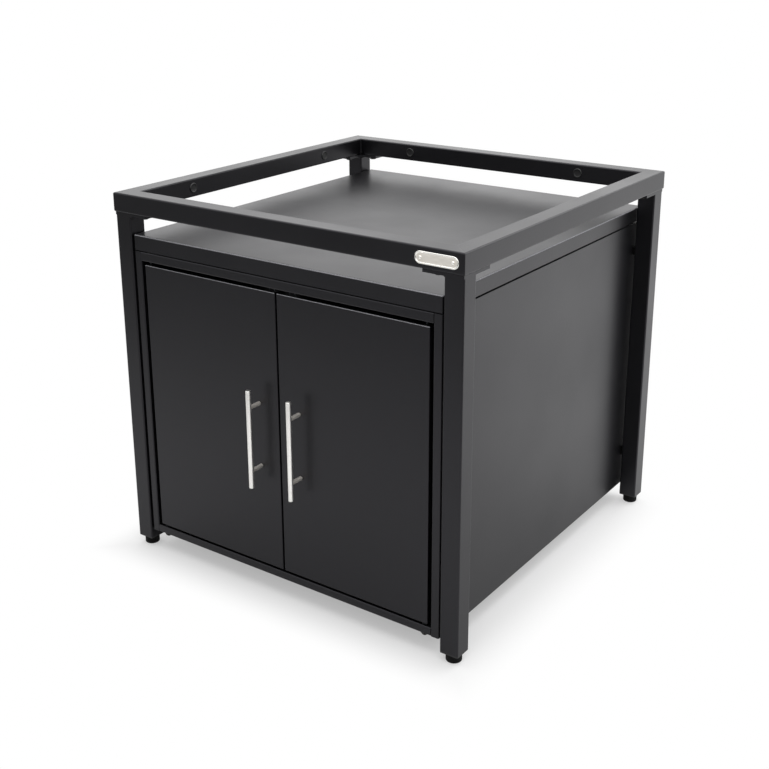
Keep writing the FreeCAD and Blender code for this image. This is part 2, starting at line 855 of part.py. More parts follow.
def save(name, pieces):
    """Write one piece, or a group of like pieces, to its own file."""
    shape = Part.makeCompound(pieces) if isinstance(pieces, list) else pieces.copy()
    shape.translate(move_to_origin)
    shape.exportStep(os.path.join("parts", name + ".step"))


def save_pair(name, left_pieces):
    """Write a piece of the left door and its mirror image on the right door."""
    pieces = left_pieces if isinstance(left_pieces, list) else [left_pieces]
    save(name.format("left"), pieces if len(pieces) > 1 else pieces[0])
    turned = [mirrored(piece) for piece in pieces]
    save(name.format("right"), turned if len(turned) > 1 else turned[0])


def save_ring_and_legs():
    save("ring_rail_front", ring_rail_along_x(-1).cut(oval_rivet_holes()))
    save("ring_rail_rear", ring_rail_along_x(1))
    save("ring_rail_left", ring_rail_along_y(-1))
    save("ring_rail_right", ring_rail_along_y(1))
    save("rail_hole_plugs", rail_hole_plugs())
    save("corner_plates", list(four_corners(corner_plate()).values()))
    save("corner_bolts", corner_bolts())
    for corner, shape in four_corners(leg()).items():
        save("leg_" + corner, shape)
    save("leg_inserts", list(four_corners(leg_insert()).values()))
    for corner, shape in four_corners(levelling_pad()).items():
        save("levelling_pad_" + corner, shape)
    for corner, shape in four_corners(levelling_stem()).items():
        save("levelling_stem_" + corner, shape)
    save("oval_plate", oval_plate())
    save("oval_plate_rivets", oval_plate_rivets())


def save_cabinet():
    save("side_panel_right", side_panel())
    save("side_panel_left", mirrored(side_panel()))
    save("top_panel", top_panel())
    save("bottom_panel", bottom_panel())
    save("back_panel", back_panel())
    save("cabinet_spacers", cabinet_spacers())
    save("cabinet_bolts", cabinet_bolts())
    save("tray", tray())
    save("tray_bearer_right", tray_bearer())
    save("tray_bearer_left", mirrored(tray_bearer()))
    save("shelf", shelf())
    save("shelf_angles", both_sides(shelf_angle()))
    save("lower_pivot_pins", lower_pivot_pins())
    save("pivot_dome_nuts", pivot_dome_nuts())
    save("upper_pivot_pins", upper_pivot_pins())
    save("catch_housings", both_sides(catch_housing()))
    poles = pole_blocks()
    save("catch_poles", poles + [mirrored(pole) for pole in poles])


def save_doors():
    save_pair("door_{}", door())
    save_pair("door_{}_liner", door_liner())
    save_pair("door_{}_bushes", door_bushes())
    save_pair("door_{}_strike", door_strike())
    save_pair("handle_{}_bar", handle_bar())
    save_pair("handle_{}_posts", handle_posts())
    save_pair("handle_{}_screws", handle_screws())


os.makedirs("parts", exist_ok=True)
save_ring_and_legs()
save_cabinet()
save_doors()
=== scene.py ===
import math

import bmesh
import bpy
from mathutils import Matrix, Vector


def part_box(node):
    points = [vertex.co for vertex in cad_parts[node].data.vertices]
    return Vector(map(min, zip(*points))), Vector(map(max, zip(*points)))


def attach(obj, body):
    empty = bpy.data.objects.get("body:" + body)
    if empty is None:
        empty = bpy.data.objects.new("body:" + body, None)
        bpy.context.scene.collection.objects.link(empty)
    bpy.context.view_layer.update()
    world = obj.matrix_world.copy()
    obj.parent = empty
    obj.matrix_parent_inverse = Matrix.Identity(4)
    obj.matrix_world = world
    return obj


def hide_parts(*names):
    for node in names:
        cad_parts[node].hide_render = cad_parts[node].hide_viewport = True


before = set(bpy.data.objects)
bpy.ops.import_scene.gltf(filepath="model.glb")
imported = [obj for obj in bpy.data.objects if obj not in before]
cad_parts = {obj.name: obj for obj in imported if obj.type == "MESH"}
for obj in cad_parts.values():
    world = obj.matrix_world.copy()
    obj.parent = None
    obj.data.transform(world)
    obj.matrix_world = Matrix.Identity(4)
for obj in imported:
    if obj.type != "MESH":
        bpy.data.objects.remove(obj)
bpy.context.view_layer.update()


# Camera. It stands to the right of the doors and looks down on the ring, at the photograph's angle.
# The verticals are parallel there, which takes a large lens shift. This small one keeps them nearly
# so, and leaves the object in view from all sides.
camera = bpy.data.objects.new("camera", bpy.data.cameras.new("camera"))
camera.location = (1.3373, -1.9348, 1.2503)
camera.rotation_euler = [math.radians(angle) for angle in (72.214, 0.168, 35.149)]
camera.data.lens = 55.679
camera.data.sensor_width = 36
camera.data.shift_y = -0.1
bpy.context.scene.collection.objects.link(camera)
bpy.context.scene.camera = camera


# Ring rails. Four mitred square steel tubes that carry the grill, welded into one ring and ground
# flush outside. The coat is sprayed on after welding, so a mitre shows as a faint line.
mm = 0.001
ring_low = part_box("ring_rail_front")[0]
ring_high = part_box("ring_rail_rear")[1]
ring_middle_y = (ring_low.y + ring_high.y) / 2
ring_half = ring_high.x
tube = ring_high.z - ring_low.z
ring_inner = ring_half - tube
mitre_width = 1.5 * mm
mitre_depth = 0.12 * mm


def colour(text):
    """Linear RGBA of an sRGB hex colour."""
    parts = [int(text[i:i + 2], 16) / 255 for i in (1, 3, 5)]
    linear = [p / 12.92 if p <= 0.04045 else ((p + 0.055) / 1.055) ** 2.4 for p in parts]
    return (*linear, 1.0)


def add(tree, kind, inputs=None, **settings):
    """Adds one node with its settings, and sets or links its inputs. An input goes by its name, or
    by its place where a node has several of one name: a colour mix has its colours at 6 and 7."""
    node = tree.nodes.new(kind)
    for name, value in settings.items():
        setattr(node, name, value)
    for name, value in (inputs or {}).items():
        if isinstance(value, bpy.types.NodeSocket):
            tree.links.new(value, node.inputs[name])
        else:
            node.inputs[name].default_value = value
    return node


def start_material(name, **sockets):
    """A material with these values on its shader's own sockets, its tree and its shader."""
    made = bpy.data.materials.new(name)
    made.use_nodes = True
    shader = made.node_tree.nodes["Principled BSDF"]
    for socket, value in sockets.items():
        shader.inputs[socket.replace("_", " ")].default_value = value
    return made, made.node_tree, shader


def join(tree, shader, **sources):
    """Links node outputs to the shader's sockets."""
    for socket, source in sources.items():
        tree.links.new(source, shader.inputs[socket.replace("_", " ")])


def mitre_lines(tree, where, normal):
    """Dips the surface along the ground welds, where x is as far from the ring's middle as y."""
    from_middle = add(tree, "ShaderNodeVectorMath", {
        0: where, 1: (0, ring_middle_y, 0)}, operation="SUBTRACT")
    size = add(tree, "ShaderNodeVectorMath", {0: from_middle.outputs[0]}, operation="ABSOLUTE")
    parts = add(tree, "ShaderNodeSeparateXYZ", {0: size.outputs[0]})
    apart = add(tree, "ShaderNodeMath", {
        0: parts.outputs["X"], 1: parts.outputs["Y"]}, operation="SUBTRACT")
    near = add(tree, "ShaderNodeMath", {0: apart.outputs[0]}, operation="ABSOLUTE")
    dip = add(tree, "ShaderNodeMapRange", {"Value": near.outputs[0], "From Max": mitre_width})
    bump = add(tree, "ShaderNodeBump", {
        "Height": dip.outputs[0], "Distance": mitre_depth, "Normal": normal})
    return bump.outputs[0]


def painted_bend_highlight(tree, base, grain):
    """A painted highlight: light grey where the surface turns from a front to a top, not on the top."""
    facing = add(tree, "ShaderNodeNewGeometry")
    tilt = add(tree, "ShaderNodeSeparateXYZ", {0: facing.outputs["Normal"]})
    bend = add(tree, "ShaderNodeMapRange", {
        "Value": tilt.outputs["Z"], "From Min": 0.3, "From Max": 0.6})
    folded = add(tree, "ShaderNodeMapRange", {
        "Value": tilt.outputs["Z"], "From Min": 0.9, "From Max": 0.98,
        "To Min": bend.outputs[0], "To Max": 0.0})
    highlight_share = add(tree, "ShaderNodeMapRange", {
        "Value": grain, "From Min": 0.3, "From Max": 0.6, "To Max": folded.outputs[0]})
    highlighted = add(tree, "ShaderNodeMix", {
        0: highlight_share.outputs[0], 6: base, 7: colour("#b9b9be")}, data_type="RGBA")
    return highlighted.outputs[2]


# Polyester powder, sprayed on and baked. It gives a satin black skin that mirrors softly, with a
# faint orange peel, a finer grain, and a gloss that drifts a little from place to place. Where asked,
# a light grey is painted along the bends that turn up to a top: a painted highlight. The real peel is
# about 3 mm from crest to crest and the grain 0.3 mm; both are drawn as fine as they show.
coat_peel = 5 * mm
coat_peel_depth = 0.05 * mm
coat_grain = 0.7 * mm
coat_grain_depth = 0.006 * mm
coat_drift = 160 * mm


def powder_coat(name, mitred=False, bend_highlight=False):
    """The frame's and the cabinet's coat, with ground mitres or painted bend highlights where it has
    them.
    """
    coat, tree, shader = start_material(name, IOR=1.42, Specular_Tint=colour("#f8f6ff"))
    where = add(tree, "ShaderNodeTexCoord").outputs["Object"]
    peel = add(tree, "ShaderNodeTexNoise", {"Vector": where, "Scale": 1 / coat_peel, "Detail": 1.0})
    grain = add(tree, "ShaderNodeTexNoise", {"Vector": where, "Scale": 1 / coat_grain, "Detail": 2.0})
    drift = add(tree, "ShaderNodeTexNoise", {"Vector": where, "Scale": 1 / coat_drift, "Detail": 3.0})
    shade = add(tree, "ShaderNodeMix", {
        0: drift.outputs["Fac"], 6: colour("#070708"), 7: colour("#0b0b0d")}, data_type="RGBA")
    base = shade.outputs[2]
    if bend_highlight:
        base = painted_bend_highlight(tree, base, grain.outputs["Fac"])
    gloss = add(tree, "ShaderNodeMapRange", {
        "Value": drift.outputs["Fac"], "From Min": 0.3, "From Max": 0.7,
        "To Min": 0.26, "To Max": 0.32})
    speckle = add(tree, "ShaderNodeMath", {
        0: grain.outputs["Fac"], 1: 0.08, 2: gloss.outputs["Result"]}, operation="MULTIPLY_ADD")
    coarse = add(tree, "ShaderNodeBump", {
        "Height": peel.outputs["Fac"], "Distance": coat_peel_depth})
    fine = add(tree, "ShaderNodeBump", {
        "Height": grain.outputs["Fac"], "Distance": coat_grain_depth,
        "Normal": coarse.outputs["Normal"]})
    relief = fine.outputs["Normal"]
    if mitred:
        relief = mitre_lines(tree, where, relief)
    join(tree, shader, Base_Color=base, Roughness=speckle.outputs["Value"], Normal=relief)
    return coat


def finish_nodes(material, *names):
    """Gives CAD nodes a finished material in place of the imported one."""
    for name in names:
        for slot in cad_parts[name].material_slots:
            slot.material = material


finish_nodes(
    powder_coat("satin black powder coat over mitres", mitred=True),
    "ring_rail_front", "ring_rail_rear", "ring_rail_left", "ring_rail_right")


# Ring corner welds. One steel bead runs up each inside corner of the ring, where it isn't ground.
# The torch leaves it as a row of overlapping ripples, and it is coated with the ring.
corners = [(side_x, side_y) for side_x in (-1, 1) for side_y in (-1, 1)]
ripple_pitch = 1.6 * mm
ring_bead = 2.2 * mm
bead_end_gap = 2.5 * mm
steelwork_coat = powder_coat("satin black powder coat")


def start_tree(name, **inputs):
    """A Geometry Nodes tree with these named inputs, and its group input's outputs."""
    tree = bpy.data.node_groups.new(name, "GeometryNodeTree")
    tree.interface.new_socket("Geometry", in_out="INPUT", socket_type="NodeSocketGeometry")
    tree.interface.new_socket("Geometry", in_out="OUTPUT", socket_type="NodeSocketGeometry")
    for label, kind in inputs.items():
        tree.interface.new_socket(
            label.replace("_", " "), in_out="INPUT", socket_type="NodeSocket" + kind)
    return tree, add(tree, "NodeGroupInput").outputs


def end_tree(tree, instances, finish):
    """Turns the instances into real geometry with its material."""
    real = add(tree, "GeometryNodeRealizeInstances", {0: instances})
    smooth = add(tree, "GeometryNodeSetShadeSmooth", {"Geometry": real.outputs[0]})
    coated = add(tree, "GeometryNodeSetMaterial", {"Geometry": smooth.outputs[0], "Material": finish})
    add(tree, "NodeGroupOutput", {0: coated.outputs[0]})


def made_by(tree, base, **inputs):
    """The plain mesh piece that a tree makes of a base mesh."""
    piece = bpy.data.objects.new(base.name, base)
    bpy.context.scene.collection.objects.link(piece)
    modifier = piece.modifiers.new("nodes", "NODES")
    modifier.node_group = tree
    for item in tree.interface.items_tree:
        if item.in_out == "INPUT" and item.name in inputs:
            modifier[item.identifier] = inputs[item.name]
    evaluated = piece.evaluated_get(bpy.context.evaluated_depsgraph_get())
    made = bpy.data.meshes.new_from_object(evaluated)
    piece.modifiers.clear()
    # Realizing puts an empty slot before the finish.
    if made.materials[0] is None:
        made.materials.pop(index=0)
    piece.data = made
    return piece


def fit(piece, body, slot, *nodes):
    """Puts a piece on its body in place of these nodes. The slot is not used."""
    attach(piece, body)
    if nodes:
        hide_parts(*nodes)


weld_tree, given = start_tree(
    "weld bead", Pitch="Float", Radius="Float", Seed="Int", Finish="Material")
paths = add(weld_tree, "GeometryNodeMeshToCurve", {"Mesh": given["Geometry"]})
steps = add(weld_tree, "GeometryNodeResampleCurve", {
    "Curve": paths.outputs[0], "Length": given["Pitch"]}, mode="LENGTH")
ripple = add(weld_tree, "GeometryNodeMeshIcoSphere", {
    "Radius": given["Radius"], "Subdivisions": 2})
swell = add(weld_tree, "FunctionNodeRandomValue", {
    2: 0.88, 3: 1.0, "Seed": given["Seed"]}, data_type="FLOAT")
flat = add(weld_tree, "ShaderNodeVectorMath", {
    0: (1, 1, 0.5), "Scale": swell.outputs[1]}, operation="SCALE")
along = add(weld_tree, "GeometryNodeInputTangent")
across = add(weld_tree, "FunctionNodeAlignRotationToVector", {
    "Vector": along.outputs[0]}, axis="Z")
ripples = add(weld_tree, "GeometryNodeInstanceOnPoints", {
    "Points": steps.outputs[0], "Instance": ripple.outputs[0], "Rotation": across.outputs[0],
    "Scale": flat.outputs[0]})
end_tree(weld_tree, ripples.outputs[0], given["Finish"])


def weld(name, seams, radius, seed):
    """Rippled beads along straight seams, each from one end to the other."""
    path = bpy.data.meshes.new(name)
    ends = [end for seam in seams for end in seam]
    path.from_pydata(ends, [(i, i + 1) for i in range(0, len(ends), 2)], [])
    return made_by(
        weld_tree, path, Pitch=ripple_pitch, Radius=radius, Seed=seed, Finish=steelwork_coat)


seams = []
for side_x, side_y in corners:
    x, y = side_x * ring_inner, ring_middle_y + side_y * ring_inner
    seams.append(((x, y, ring_low.z + bead_end_gap), (x, y, ring_high.z - bead_end_gap)))
fit(weld("ring_corner_welds", seams, ring_bead, seed=3), "frame", "black_powder_coat")


# Rail plugs. Moulded polythene caps pushed into the round holes that let the coating oven's air out
# of the tubes. Each has a raised rim, a dished middle and a hollow barrel in the hole.
plug_from_middle = 218 * mm
rail_middle_z = (ring_low.z + ring_high.z) / 2
plug_rings = [
    (0, 0.9), (5.6, 1.0), (7.6, 1.25), (8.3, 1.65), (8.9, 1.8), (9.5, 1.6), (10.2, 0.85), (10.5, 0.2),
    (10.5, 0), (8.9, 0), (8.9, -5.6), (8.3, -7), (7.5, -7), (7.5, -0.7), (0, -0.7)]


def skinned(name, rows, closed=False):
    """A closed skin over rows of points. A row may be one point; a row left open gets a flat face."""
    shape = bmesh.new()
    rows = [[shape.verts.new([part * mm for part in point]) for point in row] for row in rows]
    for lower, upper in zip(rows, rows[1:] + (rows[:1] if closed else [])):
        count = max(len(lower), len(upper))
        for step in range(count):
            after = (step + 1) % count
            corner = [
                lower[step % len(lower)], lower[after % len(lower)],
                upper[after % len(upper)], upper[step % len(upper)]]
            shape.faces.new(list(dict.fromkeys(corner)))
    for row in (rows[0], rows[-1]):
        if not closed and len(row) > 1:
            shape.faces.new(row)
    bmesh.ops.recalc_face_normals(shape, faces=shape.faces)
    for face in shape.faces:
        face.smooth = True
    for edge in shape.edges:
        edge.smooth = edge.calc_face_angle(0) < math.radians(35)
    mesh = bpy.data.meshes.new(name)
    shape.to_mesh(mesh)
    shape.free()
    return mesh


def turned(name, rings, segments=48, closed=False):
    """A body turned round Z. A ring is a radius and a height in mm, each a number or a function of
    the angle, and a radius of 0 is a point on the axis."""
    rows = []
    for radius, height in rings:
        row = []
        for step in range(1 if radius == 0 else segments):
            angle = math.tau * step / segments
            r = radius(angle) if callable(radius) else radius
            z = height(angle) if callable(height) else height
            row.append((r * math.cos(angle), r * math.sin(angle), z))
        rows.append(row)
    return skinned(name, rows, closed)


def surface(tree, shader, drift, dark, light, smooth, dull, relief, depth):
    """A colour and a gloss that drift together with one pattern, over the relief of another."""
    shade = add(tree, "ShaderNodeMix", {
        0: drift, 6: colour(dark), 7: colour(light)}, data_type="RGBA")
    gloss = add(tree, "ShaderNodeMapRange", {
        "Value": drift, "From Min": 0.3, "From Max": 0.7, "To Min": smooth, "To Max": dull})
    skin = add(tree, "ShaderNodeBump", {"Height": relief, "Distance": depth})
    join(
        tree, shader, Base_Color=shade.outputs[2], Roughness=gloss.outputs["Result"],
        Normal=skin.outputs["Normal"])


# Injection moulded plastics. The black clouds a little where the melt cooled unevenly, over the
# grain of a spark-eroded mould, which is about 0.3 mm across and drawn coarser so that it shows.
melt_cloud = 12 * mm
mould_depth = 0.03 * mm


def moulded_plastic(name, dark, light, grain_size, dull, **sockets):
    """A moulded plastic between two blacks, with the roughness dull at its middle."""
    plastic, tree, shader = start_material(name, **sockets)
    where = add(tree, "ShaderNodeTexCoord").outputs["Object"]
    grain = add(tree, "ShaderNodeTexNoise", {"Vector": where, "Scale": 1 / grain_size, "Detail": 2.0})
    cloud = add(tree, "ShaderNodeTexNoise", {"Vector": where, "Scale": 1 / melt_cloud, "Detail": 2.0})
    surface(
        tree, shader, cloud.outputs["Fac"], dark, light, dull - 0.05, dull + 0.05,
        grain.outputs["Fac"], mould_depth)
    return plastic


# Low-density polythene. It gives a dull, waxy black.
polythene = moulded_plastic(
    "moulded black polythene", "#0c0c0d", "#131314", 0.8 * mm, dull=0.42, IOR=1.51)

piece_tree, given = start_tree(
    "pieces set out", Piece="Object", Most_turn="Float", Seed="Int", Finish="Material")
pattern = add(piece_tree, "GeometryNodeObjectInfo", {"Object": given["Piece"]})
facing = add(piece_tree, "GeometryNodeInputNamedAttribute", {
    "Name": "facing"}, data_type="FLOAT_VECTOR")
roll = add(piece_tree, "FunctionNodeRandomValue", {
    3: given["Most turn"], "Seed": given["Seed"]}, data_type="FLOAT")
rolled = add(piece_tree, "ShaderNodeCombineXYZ", {"Z": roll.outputs[1]})
start = add(piece_tree, "FunctionNodeEulerToRotation", {0: rolled.outputs[0]})
faced = add(piece_tree, "FunctionNodeAlignRotationToVector", {
    "Rotation": start.outputs[0], "Vector": facing.outputs[0]}, axis="Z")
copies = add(piece_tree, "GeometryNodeInstanceOnPoints", {
    "Points": given["Geometry"], "Instance": pattern.outputs["Geometry"],
    "Rotation": faced.outputs[0]})
end_tree(piece_tree, copies.outputs[0], given["Finish"])


def set_out(name, mesh, finish, places, most_turn=0.0, seed=1):
    """Copies of a piece as one mesh. A place is a point and the way that the piece's Z faces."""
    points = bpy.data.meshes.new(name)
    points.from_pydata([point for point, way in places], [], [])
    ways = points.attributes.new("facing", "FLOAT_VECTOR", "POINT")
    ways.data.foreach_set("vector", [float(part) for point, way in places for part in way])
    original = bpy.data.objects.new(name + "_original", mesh)
    bpy.context.scene.collection.objects.link(original)
    piece = made_by(piece_tree, points, **{
        "Piece": original, "Most turn": most_turn, "Seed": seed, "Finish": finish})
    bpy.data.objects.remove(original)
    return piece


places = []
for along, side in corners:
    across = side * ring_inner
    places.append(((along * plug_from_middle, ring_middle_y + across, rail_middle_z), (0, -side, 0)))
    places.append(((across, ring_middle_y + along * plug_from_middle, rail_middle_z), (-side, 0, 0)))
plugs = set_out("plugs", turned("plug", plug_rings), polythene, places)
fit(plugs, "frame", "black_plastic", "rail_hole_plugs")


# Legs and corner plates. Square tubes with an L-shaped plate welded on top, which bolts up into the
# ring. The weld beads run in the corner between each plate and the leg's two inner faces.
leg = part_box("leg_rear_right")
leg_middle_x = (leg[0].x + leg[1].x) / 2
leg_middle_y = (leg[0].y + leg[1].y) / 2 - ring_middle_y
plate_low = leg[1].z
plate_bead = 3.4 * mm
tube_round = 3 * mm

finish_nodes(
    steelwork_coat, "leg_front_left", "leg_front_right", "leg_rear_left", "leg_rear_right",
    "corner_plates")
seams = []
for side_x, side_y in corners:
    near_x, near_y = leg_middle_x - tube / 2, leg_middle_y - tube / 2
    far_x, far_y = leg_middle_x + tube / 2 - tube_round, leg_middle_y + tube / 2 - tube_round
    for ends in (
            ((near_x, near_y + tube_round), (near_x, far_y)),
            ((near_x + tube_round, near_y), (far_x, near_y))):
        seams.append([(side_x * x, ring_middle_y + side_y * y, plate_low) for x, y in ends])
fit(weld("plate_welds", seams, plate_bead, seed=8), "frame", "black_powder_coat")


# Corner bolts. M8 hexagon head bolts, forged, rolled and black oxidised, two through each plate up
# into the ring's lower wall. The head has a washer face and a chamfer turned on its top.
bolt_from_leg = 41 * mm
washer_share = 0.47
thread_chamfer = 0.7


def hexagon(flats):
    """The radius of a hexagon, by the angle, from the width across its flats."""
    return lambda angle: flats / 2 / math.cos((angle + math.pi / 6) % (math.pi / 3) - math.pi / 6)


def chamfered(flats, face, top):
    """The height of a hexagon's edge where a 30 degree cone cuts it, from the face's radius on."""
    radius = hexagon(flats)
    return lambda angle: top - (radius(angle) - face) * math.tan(math.radians(30))


def bolt_rings(flats, head, shank, reach):
    """Rings of a hexagon head bolt whose seat is at height 0 and whose head points up."""
    face = flats * washer_share
    return [
        (0, head), (face, head), (hexagon(flats), chamfered(flats, face, head)),
        (hexagon(flats), 0.5), (face, 0.4), (face, 0), (shank, 0),
        (shank, thread_chamfer - reach), (shank - thread_chamfer, -reach), (0, -reach)]


# Plated and blackened steels. Their colour and gloss cloud in patches a few millimetres wide, over
# a grain of about 0.1 mm from the bath, drawn coarser so that it shows.
plating_grain = 0.5 * mm
plating_depth = 0.01 * mm


def plated_steel(name, dark, light, patch, smooth, dull):
    """A plated steel between two colours, with patches this wide."""
    metal, tree, shader = start_material(name, Metallic=1.0)
    where = add(tree, "ShaderNodeTexCoord").outputs["Object"]
    cloud = add(tree, "ShaderNodeTexNoise", {"Vector": where, "Scale": 1 / patch, "Detail": 4.0})
    grain = add(tree, "ShaderNodeTexNoise", {
        "Vector": where, "Scale": 1 / plating_grain, "Detail": 2.0})
    surface(
        tree, shader, cloud.outputs["Fac"], dark, light, smooth, dull,
        grain.outputs["Fac"], plating_depth)
    return metal


# Black oxide on forged steel, dipped in oil. It gives a deep brown-black metal with a soft sheen.
black_oxide = plated_steel(
    "black oxide steel", "#201f1f", "#343230", 4 * mm, smooth=0.32, dull=0.48)
plate_bolt = turned("plate_bolt", bolt_rings(flats=13, head=5.3, shank=4, reach=16))
places = []
for side_x, side_y in corners:
    for x, y in (
            (leg_middle_x - bolt_from_leg, leg_middle_y),
            (leg_middle_x, leg_middle_y - bolt_from_leg)):
        places.append(((side_x * x, ring_middle_y + side_y * y, plate_low), (0, 0, -1)))
plate_bolts = set_out("plate_bolts", plate_bolt, black_oxide, places, most_turn=math.tau, seed=4)
fit(plate_bolts, "frame", "black_steel", "corner_bolts")


# Levelling feet. A ribbed nylon pad is moulded round a zinc plated M10 stem that screws up through
# a plastic insert hammered into the leg.
pad_radius = 15
pad_top = 17.5
pad_ribs = 40
rib_depth = 0.36
stem_bore = 5.05
socket_floor = 6.0
stem_top = 60.0
thread_crest = 5.0
thread_root = 4.15
thread_pitch = 1.5
rows_per_turn = 6

# Polypropylene, injection moulded. It gives an even black, a little glossier than the plugs'.
polypropylene = moulded_plastic(
    "moulded black polypropylene", "#0b0b0c", "#121213", 0.8 * mm, dull=0.4, IOR=1.49)
# Nylon coloured with carbon black, injection moulded. It gives the deepest and dullest black of
# them all.
black_nylon = moulded_plastic(
    "moulded black nylon", "#040404", "#090909", 0.9 * mm, dull=0.5, IOR=1.53,
    Specular_IOR_Level=0.1)
# Bright zinc plate. It gives a pale, slightly blue grey metal, a little cloudy.
bright_zinc = plated_steel(
    "bright zinc plated steel", "#a9adb2", "#cfd2d3", 5 * mm, smooth=0.24, dull=0.4)


def ribbed(angle):
    """The pad's radius by the angle: shallow ribs all round for the fingers."""
    return pad_radius - rib_depth / 2 * (1 - math.cos(pad_ribs * angle))


def thread_radius(height):
    """The stem's radius by the angle at one height: a flat-topped ridge that climbs a pitch a turn,
    and shrinks to the root at the stem's tip."""
    def radius(angle):
        turn = (height / thread_pitch - angle / math.tau) % 1
        ridge = min(max(1.8 * (1 - abs(2 * turn - 1)) - 0.3, 0), 1)
        crest = thread_root + (thread_crest - thread_root) * ridge
        return min(crest, thread_root + stem_top - height)
    return radius


pad_rings = [
    (0, 0), (13.3, 0), (13.9, 0.3), (14.7, 1.1), (ribbed, 1.9), (ribbed, 15.6), (14.7, 16.4),
    (14.0, 17.2), (13.2, pad_top), (stem_bore, pad_top), (stem_bore, socket_floor),
    (0, socket_floor)]
stem_length = stem_top - socket_floor
stem_rows = round(stem_length / thread_pitch * rows_per_turn)
stem_heights = [socket_floor + stem_length * row / stem_rows for row in range(stem_rows + 1)]
thread_rings = [(thread_radius(height), height) for height in stem_heights]
stem_rings = [(0, socket_floor), *thread_rings, (0, stem_top)]

finish_nodes(polypropylene, "leg_inserts")
pad = turned("pad", pad_rings, segments=pad_ribs * 6)
stem = turned("stem", stem_rings, segments=24)
for side_x, side_y in corners:
    corner = ("rear" if side_y > 0 else "front") + ("_right" if side_x > 0 else "_left")
    place = ((side_x * leg_middle_x, ring_middle_y + side_y * leg_middle_y, 0), (0, 0, 1))
    foot_pad = set_out("pad_" + corner, pad, black_nylon, [place])
    fit(foot_pad, "foot_" + corner, "black_plastic", "levelling_pad_" + corner)
    foot_stem = set_out("stem_" + corner, stem, bright_zinc, [place])
    fit(foot_stem, "foot_" + corner, "zinc_steel", "levelling_stem_" + corner)


# Cabinet shell. Sides, roof, floor and back, folded from 1.5 mm steel sheet and powder coated. The
# back is held in the sides' rear flanges by blind rivets, set after coating.
side_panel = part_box("side_panel_right")
back_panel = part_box("back_panel")
rear_flange = 20 * mm
flange_middle_x = side_panel[1].x - rear_flange / 2
flange_outer_y = side_panel[1].y
cabinet_low, cabinet_high = side_panel[0].z, side_panel[1].z
rivets_up = 6
rivets_across = 5
rivet_from_end = 28 * mm
rivet_from_edge = 7.5 * mm
rivets_height = cabinet_high - cabinet_low - 2 * rivet_from_end
rivets_width = back_panel[1].x * 1.7
rivet_rings = [
    (0, 0.45), (0.9, 0.4), (1.1, 0.95), (1.9, 1.05), (2.7, 0.85), (3.1, 0.4), (3.2, 0), (1.6, 0),
    (1.6, -4), (0, -4)]

finish_nodes(
    steelwork_coat, "side_panel_left", "side_panel_right", "top_panel", "bottom_panel", "back_panel")
places = []
for row in range(rivets_up):
    z = cabinet_low + rivet_from_end + rivets_height * row / (rivets_up - 1)
    for side in (-1, 1):
        places.append(((side * flange_middle_x, flange_outer_y, z), (0, 1, 0)))
for column in range(rivets_across):
    x = rivets_width * (column / (rivets_across - 1) - 0.5)
    for z in (cabinet_low + rivet_from_edge, cabinet_high - rivet_from_edge):
        places.append(((x, back_panel[1].y, z), (0, 1, 0)))
blind_rivet = turned("blind_rivet", rivet_rings, segments=20)
fit(set_out("back_rivets", blind_rivet, black_oxide, places), "frame", "black_steel")


# Cabinet fixings. M6 zinc plated bolts, from inside the cabinet through square nylon spacers into
# the legs, four on each side.
fixing_y = 370 * mm
fixing_heights = (cabinet_low + 80 * mm, cabinet_high - 60 * mm)
sheet = 1.5 * mm
inner_x = side_panel[1].x - sheet

finish_nodes(black_nylon, "cabinet_spacers")
fixing_bolt = turned("fixing_bolt", bolt_rings(flats=10, head=4, shank=3, reach=15.5))
places = []
for side_x, side_y in corners:
    y = ring_middle_y + side_y * fixing_y
    for z in fixing_heights:
        places.append(((side_x * inner_x, y, z), (-side_x, 0, 0)))
fixing_bolts = set_out("fixing_bolts", fixing_bolt, bright_zinc, places, most_turn=math.tau, seed=6)
fit(fixing_bolts, "frame", "zinc_steel", "cabinet_bolts")


# Tray and its bearers. A steel tray with lips on all four sides lies on two hat sections, which are
# riveted to the cabinet's roof. The tray's upward bends carry a painted highlight.
bearer_rivets = 4
rivet_from_side = 9 * mm

# Coat for the tray and the doors, with a painted highlight along their upward bends.
highlighted_coat = powder_coat("satin black powder coat rubbed at bends", bend_highlight=True)
finish_nodes(highlighted_coat, "tray")
places = []
for bearer in ("tray_bearer_left", "tray_bearer_right"):
    finish_nodes(steelwork_coat, bearer)
    low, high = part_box(bearer)
    for row in range(bearer_rivets):
        y = low.y + (high.y - low.y) * (row + 0.5) / bearer_rivets
        for x in (low.x + rivet_from_side, high.x - rivet_from_side):
            places.append(((x, y, low.z + sheet), (0, 0, 1)))
fit(set_out("bearer_rivets", blind_rivet, black_oxide, places), "frame", "black_steel")


# Shelf. A loose steel sheet with lips on all four sides. It stands on two angles spot-welded to the
# cabinet's sides, and has the same coat.
finish_nodes(steelwork_coat, "shelf", "shelf_angles")


# Door pivots. Turned zinc plated pins carry each door in flanged nylon bushes. The lower pin is
# stepped and held below the cabinet by a closed black nut; the upper one drops in from above.
pin_radius = 3
collar_radius = 6
shank_radius = 4
pin_chamfer = 0.6
lower_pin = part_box("lower_pivot_pins")
pivot_x = lower_pin[1].x - collar_radius * mm
pivot_y = (lower_pin[0].y + lower_pin[1].y) / 2
nut_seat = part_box("pivot_dome_nuts")[1].z
nut_flats = 13
nut_hexagon = 3.5
nut_bore = 4.05


def rounded(radius, base, rise, angles):
    """Rings of an oval dome over a base height, at these angles above its edge."""
    return [
        (radius * math.cos(math.radians(a)), base + rise * math.sin(math.radians(a)))
        for a in angles]


